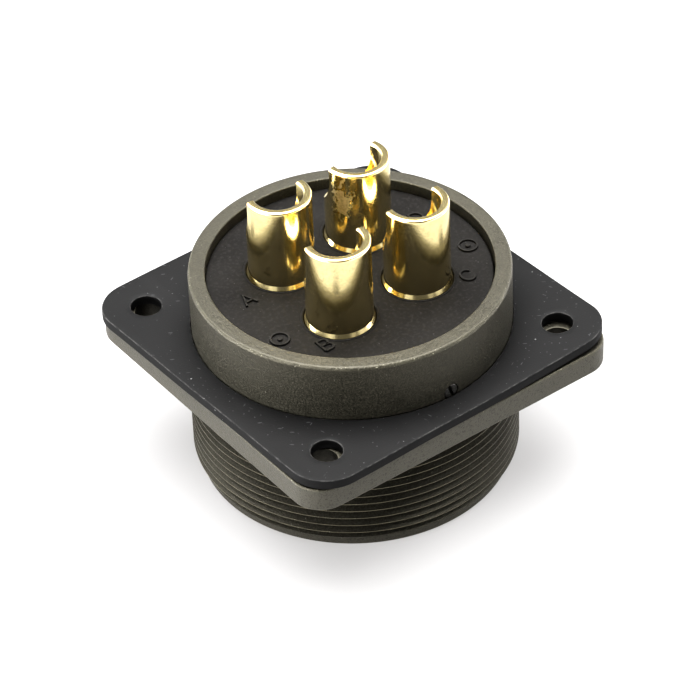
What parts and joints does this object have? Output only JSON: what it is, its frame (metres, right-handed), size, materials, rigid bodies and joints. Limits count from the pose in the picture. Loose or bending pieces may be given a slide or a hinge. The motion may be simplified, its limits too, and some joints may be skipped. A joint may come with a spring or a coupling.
{
  "type": "circular connector receptacle",
  "caption": "Square-flange box-mount circular connector receptacle with threaded olive shell, rubber gasket and large gold solder-cup power contacts.",
  "frame": {"origin": "centre of the threaded front barrel's end face, which it stands on", "axes": "+Z from the threaded front end to the solder side, +Y towards the master key; seen from the solder side contact A is at -X +Y, B at -X -Y, C at +X -Y and D at +X +Y"},
  "size_m": [0.0576, 0.0576, 0.0473],
  "materials": {
    "shell_olive": "olive-drab conversion coat over a fine blasted surface, low sheen",
    "gasket_rubber": "black rubber sheet, matte, with dust",
    "insert_black": "moulded black plastic, matte",
    "contact_gold": "gold plated, polished with fine turning marks",
    "screw_black": "blackened steel"
  },
  "bodies": {
    "root": {"shell": "shell_olive", "flange_gasket": "gasket_rubber", "rear_insert": "insert_black", "front_insert": "insert_black", "contact_a": "contact_gold", "contact_b": "contact_gold", "contact_c": "contact_gold", "contact_d": "contact_gold", "lock_screw": "screw_black"}
  },
  "joints": []
}
